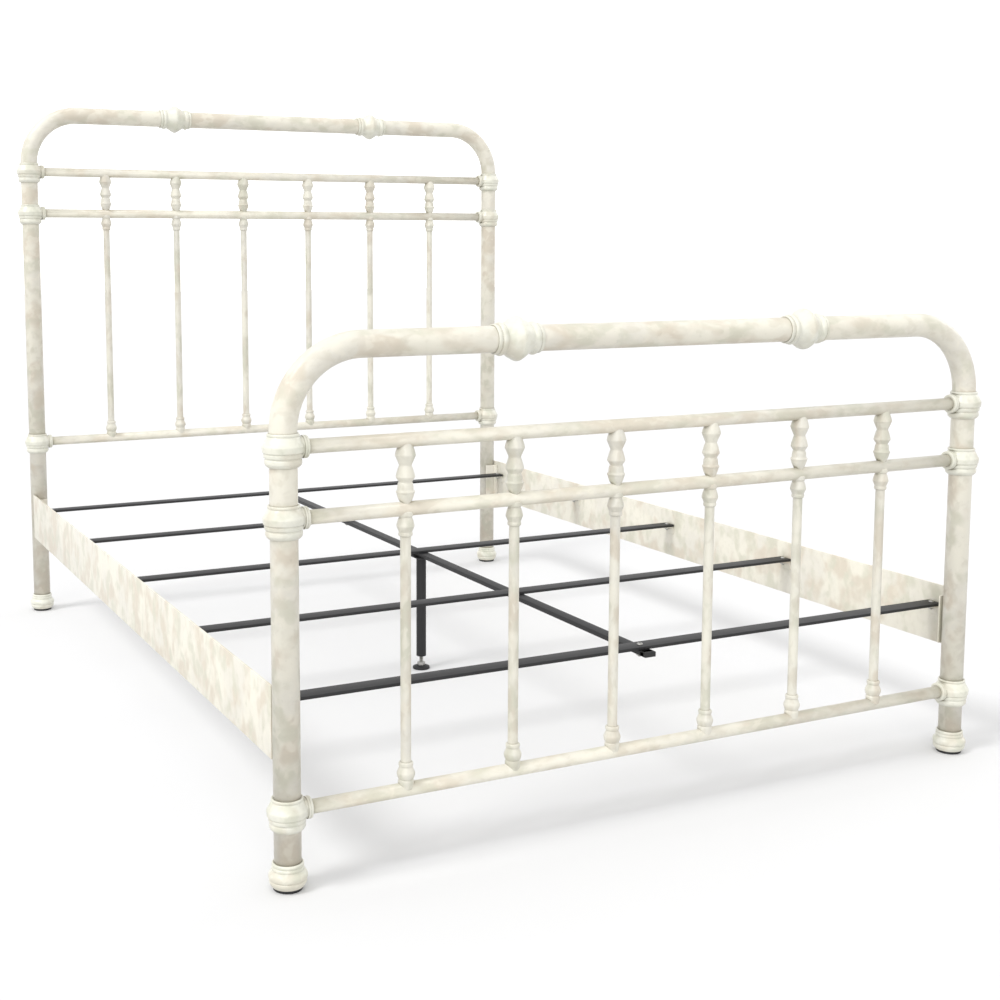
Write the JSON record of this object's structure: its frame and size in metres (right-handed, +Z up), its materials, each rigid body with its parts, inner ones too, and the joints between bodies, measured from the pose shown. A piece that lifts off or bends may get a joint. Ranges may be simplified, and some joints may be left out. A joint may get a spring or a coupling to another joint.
{
  "type": "metal bed frame",
  "caption": "Queen iron bed frame: bent-tube headboard and footboard with cast joints and turned spindles, plate side rails, steel slats and a centre leg.",
  "frame": {"origin": "on the floor, under the middle of the bed", "axes": "+X across the bed to its right side seen from the foot end, +Y along it to the head end, +Z up"},
  "size_m": [1.612, 2.191, 1.5245],
  "materials": {
    "tube_paint": "antique white enamel, satin, softly mottled",
    "casting_paint": "antique white enamel on castings, satin, darker in the grooves",
    "rail_paint": "antique white enamel on flat plate and its brackets, satin, mottled",
    "black_steel": "black powder coat, satin",
    "black_plastic": "moulded black, matte"
  },
  "bodies": {
    "frame": {"footboard_bow": "tube_paint", "footboard_lower_rail": "tube_paint", "footboard_lower_casting_left": "casting_paint", "footboard_lower_casting_right": "casting_paint", "footboard_middle_rail": "tube_paint", "footboard_middle_casting_left": "casting_paint", "footboard_middle_casting_right": "casting_paint", "footboard_upper_rail": "tube_paint", "footboard_upper_casting_left": "casting_paint", "footboard_upper_casting_right": "casting_paint", "footboard_foot_left": "casting_paint", "footboard_knuckle_left": "casting_paint", "footboard_rail_bracket_left": "rail_paint", "footboard_foot_right": "casting_paint", "footboard_knuckle_right": "casting_paint", "footboard_rail_bracket_right": "rail_paint", "footboard_spindle_1": "tube_paint", "footboard_spindle_2": "tube_paint", "footboard_spindle_3": "tube_paint", "footboard_spindle_4": "tube_paint", "footboard_spindle_5": "tube_paint", "footboard_spindle_6": "tube_paint", "headboard_bow": "tube_paint", "headboard_lower_rail": "tube_paint", "headboard_lower_casting_left": "casting_paint", "headboard_lower_casting_right": "casting_paint", "headboard_middle_rail": "tube_paint", "headboard_middle_casting_left": "casting_paint", "headboard_middle_casting_right": "casting_paint", "headboard_upper_rail": "tube_paint", "headboard_upper_casting_left": "casting_paint", "headboard_upper_casting_right": "casting_paint", "headboard_foot_left": "casting_paint", "headboard_knuckle_left": "casting_paint", "headboard_rail_bracket_left": "rail_paint", "headboard_foot_right": "casting_paint", "headboard_knuckle_right": "casting_paint", "headboard_rail_bracket_right": "rail_paint", "headboard_spindle_1": "tube_paint", "headboard_spindle_2": "tube_paint", "headboard_spindle_3": "tube_paint", "headboard_spindle_4": "tube_paint", "headboard_spindle_5": "tube_paint", "headboard_spindle_6": "tube_paint", "side_rail_left": "rail_paint", "side_rail_right": "rail_paint", "slat_1": "black_steel", "slat_2": "black_steel", "slat_3": "black_steel", "slat_4": "black_steel", "slat_5": "black_steel", "centre_rail": "black_steel", "centre_rail_cap_foot": "black_plastic", "centre_rail_cap_head": "black_plastic", "centre_leg": "black_steel"},
    "footboard_left_glide": {"footboard_glide_left": "black_plastic"},
    "footboard_right_glide": {"footboard_glide_right": "black_plastic"},
    "headboard_left_glide": {"headboard_glide_left": "black_plastic"},
    "headboard_right_glide": {"headboard_glide_right": "black_plastic"},
    "leg_foot": {"centre_leg_foot": "black_plastic"}
  },
  "joints": [
    {"name": "footboard_left_levelling", "type": "slide", "parent": "frame", "child": "footboard_left_glide", "axis": [0, 0, -1], "range_m": [0, 0.012]},
    {"name": "footboard_right_levelling", "type": "slide", "parent": "frame", "child": "footboard_right_glide", "axis": [0, 0, -1], "range_m": [0, 0.012]},
    {"name": "headboard_left_levelling", "type": "slide", "parent": "frame", "child": "headboard_left_glide", "axis": [0, 0, -1], "range_m": [0, 0.012]},
    {"name": "headboard_right_levelling", "type": "slide", "parent": "frame", "child": "headboard_right_glide", "axis": [0, 0, -1], "range_m": [0, 0.012]},
    {"name": "centre_leg_levelling", "type": "slide", "parent": "frame", "child": "leg_foot", "axis": [0, 0, -1], "range_m": [0, 0.025]}
  ]
}
